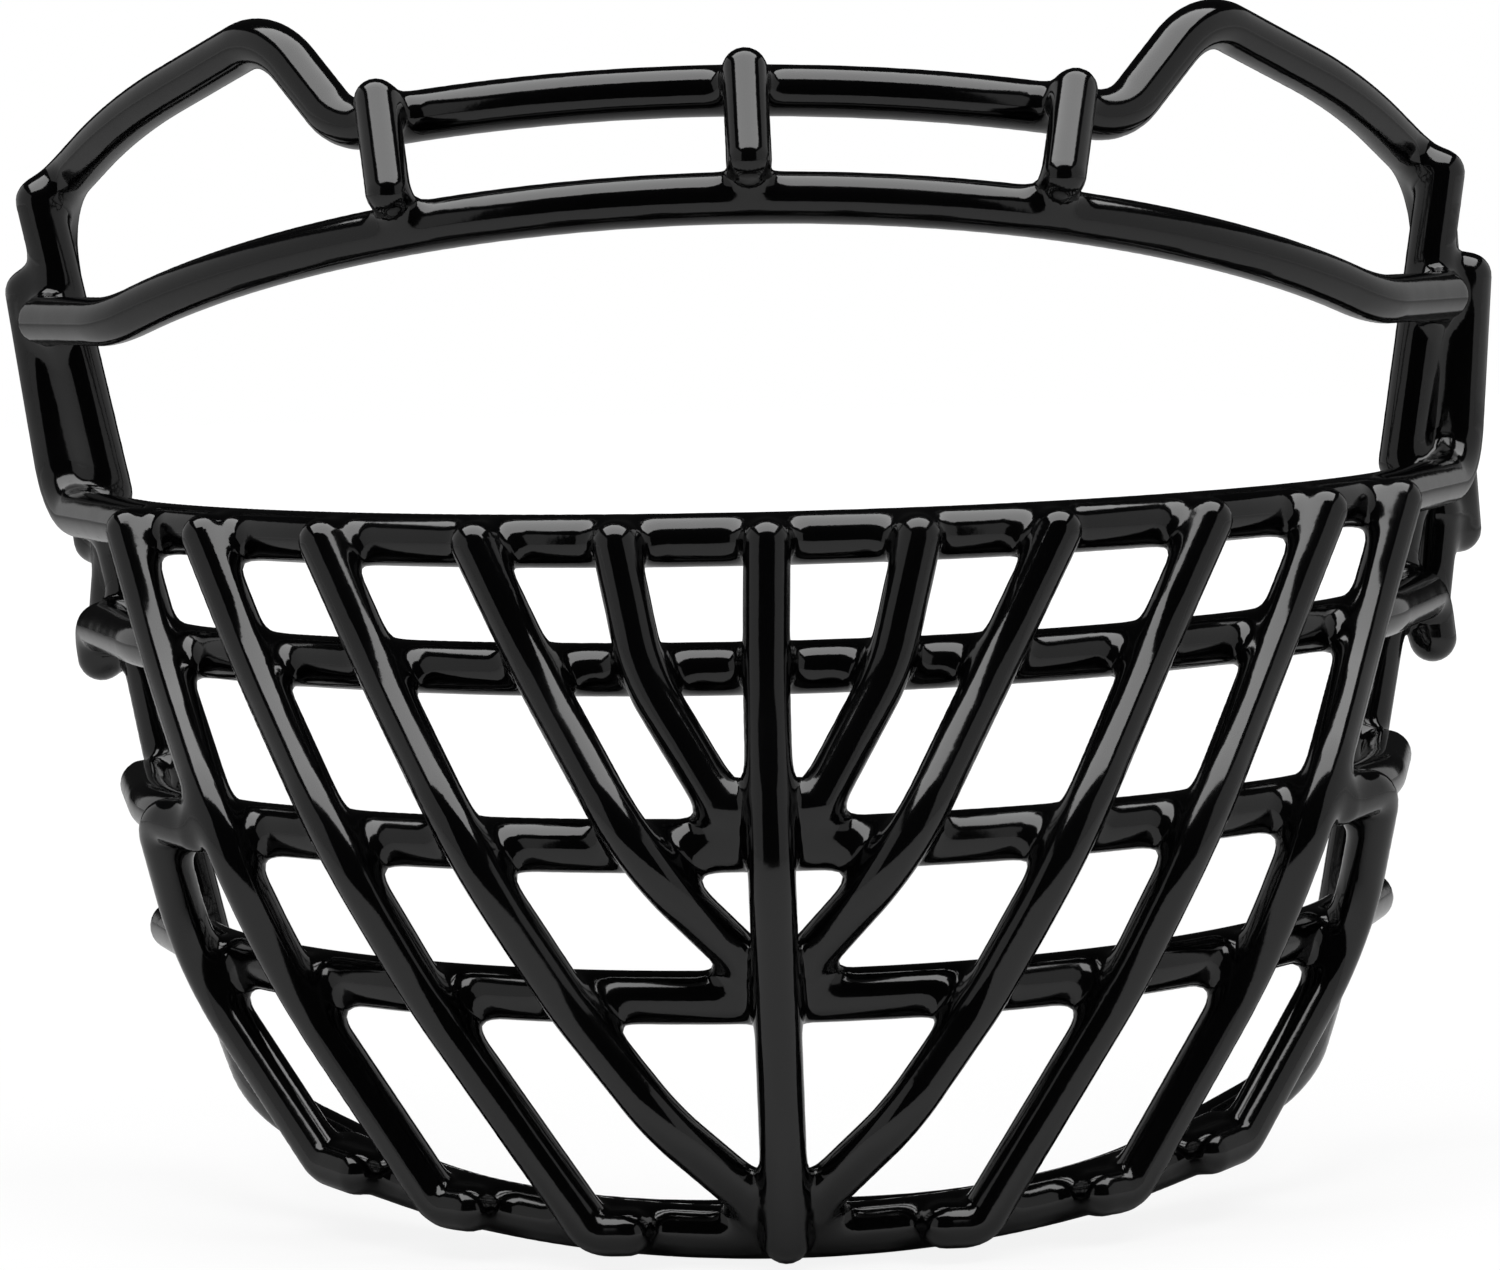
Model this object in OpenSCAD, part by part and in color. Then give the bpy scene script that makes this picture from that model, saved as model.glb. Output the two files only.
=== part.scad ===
// Football helmet face guard: a cage of bent and welded steel wires under a black coat.
// Seen from the front: X to the right, Y away from the viewer, Z up. Millimetres.
// Zero is on the middle plane, on the centreline of the lower brow bar, where clips hold the guard.
// "left" and "right" are as seen from the front.

/* [Wire] */
// Outside size of the heavy wire with its coat
heavy_wire = 8; // [7.4:0.2:8.4]
// Outside size of the light wire with its coat
light_wire = 7; // [6.4:0.1:7.1]
// How far two crossing wires sink into each other at a weld
weld_sink = 0.9; // [0.6:0.1:1.2]
// Centreline radius of the tightest bends
tight_bend = 5; // [5:0.5:6]
// Centreline radius of the corners where the first hoop turns up
corner_bend = 9; // [7:0.5:11]
// Centreline radius of the gentle bends of the fan bars
fan_bend = 60; // [30:5:80]

/* [Hoop heights] */
// First hoop, the one under the eye opening
hoop_1_level = -50.3; // [-52:0.1:-49]
// Second hoop
hoop_2_level = -69.3; // [-71:0.1:-68]
// Third hoop, the foremost
hoop_3_level = -94.5; // [-96:0.1:-93]
// Fourth hoop
hoop_4_level = -117.8; // [-119:0.1:-116]
// Fifth hoop, under the chin, at its front
hoop_5_level = -154.4; // [-155.5:0.1:-152.5]

/* [Hoop fronts] */
// First hoop, behind the front of the third one
hoop_1_front = 11.1; // [9:0.1:13]
// Second hoop, behind the front of the third one
hoop_2_front = 8.9; // [7:0.1:11]
// Fourth hoop, behind the front of the third one
hoop_4_front = 5; // [3:0.1:7]
// Fifth hoop, behind the front of the third one
hoop_5_front = 11.5; // [10:0.1:13]

/* [Hoop bends, each a radius and an angle] */
// First hoop, round the front
hoop_1_nose = [97, 30];
// First hoop, round the cheek
hoop_1_cheek = [130, 31.3];
// First hoop, into the straight side
hoop_1_side = [60, 6.2];
// First hoop, straight side up to the corner
hoop_1_straight = 46.6; // [45:0.1:48]
// Second hoop, round the front
hoop_2_nose = [93, 31.4];
// Second hoop, round the cheek
hoop_2_cheek = [138, 28.8];
// Second hoop, into the straight side
hoop_2_side = [60, 11.8];
// Second hoop, straight side up to the turned-down end
hoop_2_straight = 36.8; // [36:0.1:38]
// Third hoop, round the front
hoop_3_nose = [100, 29.4];
// Third hoop, round the cheek
hoop_3_cheek = [136, 17.9];
// Third hoop, into the straight side
hoop_3_side = [66, 33.5];
// Third hoop, straight side
hoop_3_straight = 26.4; // [24:0.1:28]
// Fourth hoop, round the front
hoop_4_nose = [88, 28];
// Fourth hoop, round the cheek
hoop_4_cheek = [107, 32.5];
// Fourth hoop, into the straight side
hoop_4_side = [90, 10.8];
// Fourth hoop, straight side
hoop_4_straight = 24.5; // [23:0.1:26]
// Fifth hoop, round the front
hoop_5_nose = [84, 35.8];
// Fifth hoop, into its ends
hoop_5_cheek = [110, 11.9];
// Fifth hoop, straight ends
hoop_5_straight = 2; // [1:0.1:3]
// Fifth hoop, how steeply its plane climbs to the rear, in degrees
hoop_5_tilt = 12.2; // [11:0.1:14]

/* [Ends of the first two hoops] */
// How far each outer upright leans out from the first hoop's corner to its top
outer_splay = 3.6; // [2:0.1:5]
// Height of the ends of the outer uprights
outer_top_level = -14.6; // [-18:0.1:-12]
// How far the ends of the second hoop turn down
stub_drop = 6.6; // [6.6:0.1:8]

/* [Front uprights, welded to the inside of the first hoop] */
// Where along the first hoop they stand, from its middle
front_upright_mark = 169.5; // [168:0.1:171]
// How far each leans out from its foot to its top
front_splay = 8.6; // [7:0.1:10]
// How far above the first hoop's centreline they end
front_foot_raise = 3.2; // [0:0.1:4]
// Height of their tops
front_top_level = 1.8; // [0:0.1:4]

/* [Brow bars] */
// Front of the lower brow bar
brow_front = 38; // [37:0.5:39]
// How far the upper brow bar stands behind the lower one
upper_brow_back = 10; // [8:0.5:12]
// Radius of both brow bars round the front
brow_radius = 127; // [125:0.5:129]
// Height of the upper brow bar at its front
upper_brow_level = 16.5; // [15:0.1:18]
// How steeply the upper brow bar's plane drops to the rear, in degrees
upper_brow_tilt = 18.4; // [14:0.1:20]
// How far the upper brow bar runs round the front, in degrees each side
upper_brow_sweep = 25; // [24:0.5:26]
// How steeply the lower brow bar's plane drops to the rear, in degrees
lower_brow_tilt = 21; // [19:0.1:22]
// How far the lower brow bar runs round the front, in degrees each side
lower_brow_sweep = 50; // [49:0.5:51]
// How far it runs on straight before it turns to the front uprights
lower_brow_run = 7.3; // [7.2:0.1:9]
// Radius of that turn
lower_brow_turn = 38; // [30:1:39]
// Half width between the lower brow bar's ends
lower_brow_end_half = 117.6; // [117.5:0.1:120]
// Height of the lower brow bar's ends
lower_brow_end_level = -18.4; // [-19.5:0.1:-17.5]
// How far its ends press back against the front uprights
lower_brow_press = 0.7; // [0.3:0.1:1]

/* [Wings of the upper brow bar, corners before they are rounded] */
// Half width between the valleys
valley_half = 60.9; // [59:0.1:62]
// Half width between the peaks
peak_half = 74.2; // [73:0.1:76]
// How far back the peaks are
peak_back = 74; // [72:0.1:76]
// Height of the peaks
peak_level = 27.8; // [26:0.1:29]
// Right shoulder between peak and temple
shoulder = [101.2, 105.2, 15.4];
// Half width between the tops of the temple wires
temple_top_half = 117.8; // [116:0.1:119]
// Height of the tops of the temple wires
temple_top_level = 1.7; // [0:0.1:3]
// Bend radii at valley, peak, shoulder and temple
wing_bends = [10, 14, 154, 16];

/* [Brow posts, sideways place of foot and top] */
// Left post
left_post = [-56.6, -58.6];
// Middle post
middle_post = [-1.1, -1.4];
// Right post
right_post = [47.1, 49.8];
// How far above the lower brow bar's front the posts' feet sit, in degrees round it
post_foot_seat = 40; // [35:1:60]
// How far above the upper brow bar's front their tops sit, in degrees round it
post_top_seat = 8; // [0:1:20]

/* [Temple wires and rear posts] */
// How far inside the first hoop's corners the temple wires end
temple_inset = 1.6; // [1:0.1:3]
// Height of the temple wires' ends
temple_foot_level = -57.6; // [-60:0.1:-55]
// Half width between the rear posts' tops
rear_top_half = 112.8; // [112:0.1:114]
// Height of the rear posts' tops
rear_top_level = -56.5; // [-57.5:0.1:-55.5]
// Height of the rear posts' feet
rear_foot_level = -75; // [-78:0.1:-74]

/* [Jaw wire, right half from the chin up, corners before they are rounded] */
// Where along the fifth hoop it bends
jaw_marks = [27, 60];
// How far round the fifth hoop it lies there, in degrees above straight behind it
jaw_seats = [-24, -30];
// Where it leaves the fifth hoop
jaw_swing = [82.7, 68, -142.8];
// Where it turns up
jaw_corner = [91.8, 100.2, -131.3];
// Behind the third hoop's end
jaw_side = [99.6, 104.2, -95.2];
// Behind the second hoop
jaw_knee = [105.7, 117, -70.7];
// Its upper end
jaw_top = [109.4, 118, -53.4];
// Its bend radii at these corners
jaw_bends = [60, 80, 50, 22, 60, 60];

/* [Fan bars, places measured along each hoop from its middle] */
// Innermost pair on hoops 1 and 2
fan_1_marks = [21.1, 16.7];
// Its foot on hoop 3
fan_1_foot = 7; // [6:0.1:8]
// Second pair on hoops 1 to 3
fan_2_marks = [42, 32.3, 18.1];
// Its foot on hoop 4
fan_2_foot = 5; // [4:0.1:7]
// Third pair on hoops 1 to 4
fan_3_marks = [68.6, 58, 43, 29.2];
// Where the third pair swings in, as half width and height
fan_3_swing = [17.5, -135.3];
// Its foot on hoop 5
fan_3_foot = 4.6; // [4:0.1:7]
// How far above the front of a hoop these feet sit, in degrees round it
fan_foot_seat = 72; // [65:1:80]
// Fourth pair on hoops 1 to 4
fan_4_marks = [94.5, 83.1, 65.2, 51.5];
// Elbow of the fourth pair on hoop 5
fan_4_elbow = 26.9; // [25:0.1:28]
// Outermost pair on hoops 1 to 4
fan_5_marks = [117.6, 107, 88.6, 77.6];
// Elbow of the outermost pair on hoop 5
fan_5_elbow = 51.4; // [50:0.1:53]
// Side bars on hoops 3 and 4
side_bar_marks = [103.7, 103.6];
// Elbow of the side bars on hoop 5
side_bar_elbow = 75; // [73:0.1:77]
// Length of the fan bars' short tails along the fifth hoop
fan_tail = 4.6; // [4.6:0.1:6]
// Length of the side bars' tails along the fifth hoop
side_tail = 6.5; // [6:0.1:8]
// Length of the side bars' tails along the third hoop
third_hoop_tail = 9; // [8:0.1:9.5]
// How far above the front of the fifth hoop the fan bars' tails lie, in degrees round it
fan_tail_seat = 16; // [0:1:20]
// How far above the front of the fifth hoop the side bars' tails lie, in degrees round it
side_tail_seat = 19; // [5:1:25]
// Bend radius of fan bars 1 to 3 where they swing in to the centre bar
swing_bend = 30; // [20:1:40]
// Bend radius of fan bar 3 lower down, where it swings once more
fan_3_swing_bend = 20; // [15:1:25]

/* [As bent and welded: sideways sets and leans, 0 for a flawless guard] */
// Hoop 1 with all that stands on it
hoop_1_set = 0.1; // [-1:0.1:1]
// Hoop 2
hoop_2_set = -0.4; // [-1:0.1:1]
// Hoop 3
hoop_3_set = -0.4; // [-1:0.1:1]
// Hoop 4
hoop_4_set = 0; // [-1:0.1:1]
// Hoop 5
hoop_5_set = 0.6; // [-1:0.1:1]
// Tops of the outer uprights
outer_top_set = -1.4; // [-2:0.1:0]
// How much lower than the middle the right outer upright ends, and higher the left one
outer_top_lean = 1.5; // [0:0.1:2]
// Ends of the second hoop
stub_set = 0.8; // [0:0.1:1]
// The same as the outer uprights' lean, for the ends of the second hoop
stub_lean = 1.1; // [0:0.1:1.1]
// Feet of the front uprights
front_foot_set = -1; // [-1.2:0.1:0]
// Tops of the front uprights
front_top_set = -2.4; // [-2.4:0.1:0]
// The same lean for the tops of the front uprights
front_top_lean = 0.4; // [0:0.1:1]
// Upper brow bar
upper_brow_set = -3.5; // [-4:0.1:0]
// How far its right side hangs, in degrees
upper_brow_lean = 0.6; // [0:0.05:1]
// Wings
wing_set = -2.7; // [-4:0.1:0]
// How far the right wing hangs, in degrees
wing_lean = 0.2; // [0:0.05:1]
// Lower brow bar
lower_brow_set = -2.3; // [-3:0.1:0]
// How far its right side hangs, in degrees
lower_brow_lean = 0.35; // [0:0.05:1]
// Ends of the temple wires
temple_set = 2.6; // [0:0.1:3]
// The same lean for the ends of the temple wires
temple_foot_lean = 1.8; // [0:0.1:2]
// Tops of the rear posts
rear_post_set = 2.5; // [2:0.1:3.5]
// Lower corners of the jaw wire
jaw_set = 0.6; // [-1:0.1:1]
// Arms of the jaw wire
jaw_arm_set = -0.2; // [-1:0.1:1]

/* [Hidden] */
heavy = heavy_wire / 2;
light = light_wire / 2;
// Centre distances of two wires welded together
mixed_gap = heavy + light - weld_sink;
heavy_gap = heavy_wire - weld_sink;
upper_brow_front = brow_front + upper_brow_back;
// Bends are drawn a hair thinner than the straights they run into, and reach a little into them
skin = 0.02;
overlap = 0.15;
// The shortest straight worth drawing between two bends
shortest = 0.2;
// How much of a leg the bend at one of its ends may take
leg_share = 0.45;
wire_black = [0.03, 0.03, 0.035];

hoop_1_bends = [hoop_1_nose, hoop_1_cheek, hoop_1_side];
hoop_2_bends = [hoop_2_nose, hoop_2_cheek, hoop_2_side];
hoop_3_bends = [hoop_3_nose, hoop_3_cheek, hoop_3_side];
hoop_4_bends = [hoop_4_nose, hoop_4_cheek, hoop_4_side];
hoop_5_bends = [hoop_5_nose, hoop_5_cheek];

function unit(v) = v / norm(v);
function flip(points) = [for (p = points) [-p.x, p.y, p.z]];
function moved(points, by) = [for (p = points) p + by];
function reversed(list) = [for (i = [len(list) - 1 : -1 : 0]) list[i]];

// A point of the right half on its side, with its sideways set
function on_side(p, side, set) = [side * p.x + set, p.y, p.z];

function bend_angle(a, b, c) = acos(min(1, unit(b - a) * unit(c - b)));
function set_back(points, radii, i) =
    i <= 0 || i >= len(points) - 1 ? 0
    : radii[i] * tan(bend_angle(points[i - 1], points[i], points[i + 1]) / 2);

// A straight rod between two points
module rod(a, b, r) {
    w = unit(b - a);
    side = abs(w.z) < 0.9 ? [0, 0, 1] : [1, 0, 0];
    u = unit(cross(side, w));
    v = cross(w, u);
    multmatrix([
        [u.x, v.x, w.x, a.x],
        [u.y, v.y, w.y, a.y],
        [u.z, v.z, w.z, a.z]
    ])
        cylinder(h = norm(b - a), r = r, $fn = 48);
}

// The bend round the corner b of the path a, b, c
module elbow(a, b, c, bend, r) {
    angle = bend_angle(a, b, c);
    d = unit(b - a);
    e = unit(c - b);
    inward = unit(e - (e * d) * d);
    middle = b - bend * tan(angle / 2) * d + bend * inward;
    w = cross(-inward, d);
    more = overlap / bend * 180 / PI;
    multmatrix([
        [-inward.x, d.x, w.x, middle.x],
        [-inward.y, d.y, w.y, middle.y],
        [-inward.z, d.z, w.z, middle.z]
    ])
        rotate([0, 0, -more])
            rotate_extrude(angle = angle + 2 * more, $fn = 180)
                translate([bend, 0])
                    circle(r = r, $fn = 48);
}

// A wire through corner points, each inner one bent to its radius, with rounded ends.
// The points count from the front of the third hoop; zero moves to the brow here.
module wire(points, radii, r) {
    last = len(points) - 1;
    color(wire_black)
        translate([0, -brow_front, 0]) {
            for (i = [0 : last - 1]) {
                d = unit(points[i + 1] - points[i]);
                a = points[i] + set_back(points, radii, i) * d;
                b = points[i + 1] - set_back(points, radii, i + 1) * d;
                if ((b - a) * d > shortest)
                    rod(a, b, r);
            }
            for (i = [1 : 1 : last - 1])
                elbow(points[i - 1], points[i], points[i + 1], radii[i], r - skin * (1 + i % 2));
            for (p = [points[0], points[last]])
                translate(p)
                    sphere(r = r - 2 * skin, $fn = 48);
        }
}

// Where a mark measured along a hoop lies in its plane: x, y and heading
function place(bends, mark, i = 0, x = 0, y = 0, turn = 0) =
    i >= len(bends)
        ? [x + mark * cos(turn), y + mark * sin(turn), turn]
    : let (
        bend = bends[i][0],
        whole = bends[i][1],
        angle = min(whole, mark / bend * 180 / PI),
        x_next = x + bend * (sin(turn + angle) - sin(turn)),
        y_next = y + bend * (cos(turn) - cos(turn + angle))
      )
      angle < whole
        ? [x_next, y_next, turn + angle]
        : place(bends, mark - bend * whole * PI / 180, i + 1, x_next, y_next, turn + whole);

function length_to(bends, i) =
    i <= 0 ? 0 : bends[i - 1][0] * bends[i - 1][1] * PI / 180 + length_to(bends, i - 1);

// A point of a plane that leaves the front at a level and climbs to the rear
function lift(x, y, front, level, tilt) = [x, front + y * cos(tilt), level + y * sin(tilt)];

// Corner of the bend that follows a mark
function corner_at(bends, i) =
    let (
        p = place(bends, length_to(bends, i)),
        back = bends[i][0] * tan(bends[i][1] / 2)
    )
    [p.x + back * cos(p.z), p.y + back * sin(p.z)];

function half_corners(bends, straight) =
    let (end = place(bends, length_to(bends, len(bends)) + straight))
    concat([for (i = [1 : 1 : len(bends) - 1]) corner_at(bends, i)], [[end.x, end.y]]);

function half_points(bends, straight, front, level, tilt = 0) =
    [for (c = half_corners(bends, straight)) lift(c.x, c.y, front, level, tilt)];

function middle_point(bends, front, level, tilt = 0) =
    lift(0, bends[0][0] * (1 - 1 / cos(bends[0][1])), front, level, tilt);

// Both halves round the middle
function both(middle, half) = concat(reversed(flip(half)), [middle], half);
function both_radii(middle, half) = concat(reversed(half), [middle], half);

function radii_of(bends) = [for (i = [1 : 1 : len(bends) - 1]) bends[i][0]];

hoop_1_half = half_points(hoop_1_bends, hoop_1_straight, hoop_1_front, hoop_1_level);
hoop_2_half = half_points(hoop_2_bends, hoop_2_straight, hoop_2_front, hoop_2_level);
// Corner where the first hoop turns up, and the one where the second turns down
hoop_1_corner = hoop_1_half[len(hoop_1_half) - 1];
hoop_2_corner = hoop_2_half[len(hoop_2_half) - 1];
// The temple wires run down behind the first hoop's corners
temple_back = hoop_1_corner.y + heavy_gap;

// A light wire on the front of a hoop at a mark, or a turn above that
function front_of(bends, mark, front, level, tilt = 0, seat = 0) =
    let (
        p = place(bends, mark),
        out = mixed_gap * cos(seat)
    )
    lift(p.x + out * sin(p.z), p.y - out * cos(p.z), front, level, tilt)
        + mixed_gap * sin(seat) * [0, -sin(tilt), cos(tilt)];

function front_1(mark, side) =
    on_side(front_of(hoop_1_bends, mark, hoop_1_front, hoop_1_level), side, hoop_1_set);
function front_2(mark, side) =
    on_side(front_of(hoop_2_bends, mark, hoop_2_front, hoop_2_level), side, hoop_2_set);
function front_3(mark, side, seat = 0) =
    on_side(front_of(hoop_3_bends, mark, 0, hoop_3_level, 0, seat), side, hoop_3_set);
function front_4(mark, side, seat = 0) =
    on_side(
        front_of(hoop_4_bends, mark, hoop_4_front, hoop_4_level, 0, seat),
        side, hoop_4_set
    );
function front_5(mark, side, seat) =
    on_side(
        front_of(hoop_5_bends, mark, hoop_5_front, hoop_5_level, hoop_5_tilt, seat),
        side, hoop_5_set
    );

// A light wire behind the fifth hoop at a mark
function behind_5(mark, side, seat) =
    let (
        p = place(hoop_5_bends, mark),
        back = mixed_gap * cos(seat)
    )
    on_side(
        lift(p.x - back * sin(p.z), p.y + back * cos(p.z), hoop_5_front, hoop_5_level, hoop_5_tilt)
            + mixed_gap * sin(seat) * [0, -sin(hoop_5_tilt), cos(hoop_5_tilt)],
        side, hoop_5_set
    );

// The centre bar at a height
function centre_at(z) = [
    lookup(z, [
        [hoop_5_level, hoop_5_set],
        [hoop_4_level, hoop_4_set],
        [hoop_3_level, hoop_3_set],
        [hoop_2_level, hoop_2_set],
        [hoop_1_level, hoop_1_set]
    ]),
    lookup(z, [
        [hoop_5_level, hoop_5_front - mixed_gap],
        [hoop_4_level, hoop_4_front - mixed_gap],
        [hoop_3_level, -mixed_gap],
        [hoop_2_level, hoop_2_front - mixed_gap],
        [hoop_1_level, hoop_1_front - mixed_gap]
    ]),
    z
];

// The first hoop turns up at its corners and ends as the outer uprights
function outer_top(side) = [
    side * (hoop_1_corner.x + outer_splay) + hoop_1_set + outer_top_set,
    hoop_1_corner.y,
    outer_top_level - side * outer_top_lean
];

module hoop_1() {
    middle = middle_point(hoop_1_bends, hoop_1_front, hoop_1_level);
    wire(
        concat(
            [outer_top(-1)],
            moved(both(middle, hoop_1_half), [hoop_1_set, 0, 0]),
            [outer_top(1)]
        ),
        both_radii(hoop_1_nose[0], concat(radii_of(hoop_1_bends), [corner_bend, 0])),
        heavy
    );
}

// The second hoop ends in short turned-down stubs
function stub_end(side) =
    on_side(hoop_2_corner, side, hoop_2_set) + [stub_set, 0, -stub_drop - side * stub_lean];

module hoop_2() {
    middle = middle_point(hoop_2_bends, hoop_2_front, hoop_2_level);
    wire(
        concat(
            [stub_end(-1)],
            moved(both(middle, hoop_2_half), [hoop_2_set, 0, 0]),
            [stub_end(1)]
        ),
        both_radii(hoop_2_nose[0], concat(radii_of(hoop_2_bends), [tight_bend, 0])),
        heavy
    );
}

module plain_hoop(bends, straight, set, front, level, tilt = 0) {
    half = half_points(bends, straight, front, level, tilt);
    wire(
        moved(both(middle_point(bends, front, level, tilt), half), [set, 0, 0]),
        both_radii(bends[0][0], concat(radii_of(bends), [0])),
        heavy
    );
}

module hoop_3() {
    plain_hoop(hoop_3_bends, hoop_3_straight, hoop_3_set, 0, hoop_3_level);
}

module hoop_4() {
    plain_hoop(hoop_4_bends, hoop_4_straight, hoop_4_set, hoop_4_front, hoop_4_level);
}

module hoop_5() {
    plain_hoop(hoop_5_bends, hoop_5_straight, hoop_5_set, hoop_5_front, hoop_5_level, hoop_5_tilt);
}

// Foot of the right front upright, inside the first hoop
function front_foot() =
    let (p = place(hoop_1_bends, front_upright_mark))
    [
        p.x - heavy_gap * sin(p.z),
        hoop_1_front + p.y + heavy_gap * cos(p.z),
        hoop_1_level + front_foot_raise
    ];

module front_upright(side) {
    foot = front_foot();
    top = [foot.x + front_splay, foot.y, front_top_level - side * front_top_lean];
    wire([
        on_side(foot, side, hoop_1_set + front_foot_set),
        on_side(top, side, hoop_1_set + front_top_set)
    ], [0, 0], heavy);
}

module front_upright_left() {
    front_upright(-1);
}

module front_upright_right() {
    front_upright(1);
}

// Each brow bar sits a little to one side, and leans
function as_welded(p, set, lean) = [p.x + set, p.y, p.z - p.x * tan(lean)];

function temple_foot(side) = [
    side * (hoop_1_corner.x - temple_inset) + hoop_1_set + temple_set,
    temple_back,
    temple_foot_level - side * temple_foot_lean
];

module upper_brow_bar() {
    bends = [[brow_radius, upper_brow_sweep]];
    run = place(bends, length_to(bends, 1));
    valley_y = run.y + (valley_half - run.x) * tan(upper_brow_sweep);
    valley = lift(valley_half, valley_y, upper_brow_front, upper_brow_level, -upper_brow_tilt);
    middle = middle_point(bends, upper_brow_front, upper_brow_level, -upper_brow_tilt);
    wing = [
        [peak_half, peak_back, peak_level],
        shoulder,
        [temple_top_half, temple_back, temple_top_level]
    ];
    wire(
        concat(
            [temple_foot(-1)],
            [for (p = reversed(flip(wing))) as_welded(p, wing_set, wing_lean)],
            [for (p = both(middle, [valley])) as_welded(p, upper_brow_set, upper_brow_lean)],
            [for (p = wing) as_welded(p, wing_set, wing_lean)],
            [temple_foot(1)]
        ),
        concat([0], both_radii(brow_radius, wing_bends), [0]),
        heavy
    );
}

module lower_brow_bar() {
    bends = [[brow_radius, lower_brow_sweep]];
    run = place(bends, length_to(bends, 1) + lower_brow_run);
    end_y = front_foot().y - heavy_gap + lower_brow_press;
    half = [
        lift(run.x, run.y, brow_front, 0, -lower_brow_tilt),
        [lower_brow_end_half, end_y, lower_brow_end_level]
    ];
    middle = middle_point(bends, brow_front, 0, -lower_brow_tilt);
    wire(
        [for (p = both(middle, half)) as_welded(p, lower_brow_set, lower_brow_lean)],
        [0, lower_brow_turn, brow_radius, lower_brow_turn, 0],
        heavy
    );
}

// A brow post's end on a brow bar, turned above its front
function on_brow(x, set, lean, front, level, tilt, seat) =
    let (
        from_middle = x - set,
        out = brow_radius + mixed_gap * cos(seat),
        depth = brow_radius - sqrt(pow(out, 2) - pow(from_middle, 2)),
        rise = [0, 0, mixed_gap * sin(seat)]
    )
    as_welded(lift(from_middle, depth, front, level, -tilt) + rise, set, lean);

// The posts lean back from the lower brow bar's top to the upper one's front
module brow_post(places) {
    foot = on_brow(
        places[0], lower_brow_set, lower_brow_lean,
        brow_front, 0, lower_brow_tilt, post_foot_seat
    );
    top = on_brow(
        places[1], upper_brow_set, upper_brow_lean,
        upper_brow_front, upper_brow_level, upper_brow_tilt, post_top_seat
    );
    wire([foot, top], [0, 0], light);
}

module brow_post_left() {
    brow_post(left_post);
}

module brow_post_middle() {
    brow_post(middle_post);
}

module brow_post_right() {
    brow_post(right_post);
}

// A rear post stands before the temple wire's end and behind the second hoop's stub
module rear_post(side) {
    temple = temple_foot(side);
    stub = stub_end(side);
    x = side * rear_top_half + rear_post_set;
    before = sqrt(pow(mixed_gap, 2) - pow(x - temple.x, 2));
    wire([
        [x, temple.y - before, rear_top_level],
        [stub.x, stub.y + mixed_gap, rear_foot_level]
    ], [0, 0], light);
}

module rear_post_left() {
    rear_post(-1);
}

module rear_post_right() {
    rear_post(1);
}

// The jaw wire lies behind the fifth hoop and runs up behind the other hoops' ends
function jaw_half(side) = concat(
    [for (i = [0, 1]) behind_5(jaw_marks[i], side, jaw_seats[i])],
    [for (p = [jaw_swing, jaw_corner]) on_side(p, side, jaw_set)],
    [for (p = [jaw_side, jaw_knee, jaw_top]) on_side(p, side, jaw_arm_set)]
);

module jaw_wire() {
    wire(
        concat(reversed(jaw_half(-1)), jaw_half(1)),
        concat([0], reversed(jaw_bends), jaw_bends, [0]),
        light
    );
}

// A bend is no larger than the legs on both sides of it allow
function limited(points, radii) =
    [for (i = [0 : len(points) - 1])
        i == 0 || i == len(points) - 1 ? 0
        : min(
            radii[i],
            leg_share * min(norm(points[i] - points[i - 1]), norm(points[i + 1] - points[i]))
                / tan(bend_angle(points[i - 1], points[i], points[i + 1]) / 2)
        )];

// A corner is moved out so that its bend touches the contact
function nudged(contact, a, b, c, bend) =
    contact - bend * (1 / cos(bend_angle(a, b, c) / 2) - 1) * unit(unit(c - b) - unit(b - a));

function closer(contacts, corners, radii) =
    let (
        last = len(contacts) - 1,
        kept = limited(corners, radii)
    )
    [for (i = [0 : last])
        i == 0 || i == last ? contacts[i]
        : nudged(contacts[i], corners[i - 1], corners[i], corners[i + 1], kept[i])];

// Corners of a wire whose bends touch the contacts
function through(contacts, radii) =
    closer(contacts, closer(contacts, closer(contacts, contacts, radii), radii), radii);

module bar(contacts, radii) {
    corners = through(contacts, radii);
    wire(corners, limited(corners, radii), light);
}

module centre_bar() {
    bar([
        centre_at(hoop_1_level),
        centre_at(hoop_2_level),
        centre_at(hoop_3_level),
        centre_at(hoop_4_level),
        centre_at(hoop_5_level)
    ], [0, fan_bend, fan_bend, fan_bend, 0]);
}

// The three inner pairs end on top of a hoop, behind the centre bar
module fan_bar_1(side) {
    bar([
        front_1(fan_1_marks[0], side),
        front_2(fan_1_marks[1], side),
        front_3(fan_1_foot, side, fan_foot_seat)
    ], [0, swing_bend, 0]);
}

module fan_bar_1_left() {
    fan_bar_1(-1);
}

module fan_bar_1_right() {
    fan_bar_1(1);
}

module fan_bar_2(side) {
    bar([
        front_1(fan_2_marks[0], side),
        front_2(fan_2_marks[1], side),
        front_3(fan_2_marks[2], side),
        front_4(fan_2_foot, side, fan_foot_seat)
    ], [0, fan_bend, swing_bend, 0]);
}

module fan_bar_2_left() {
    fan_bar_2(-1);
}

module fan_bar_2_right() {
    fan_bar_2(1);
}

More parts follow.
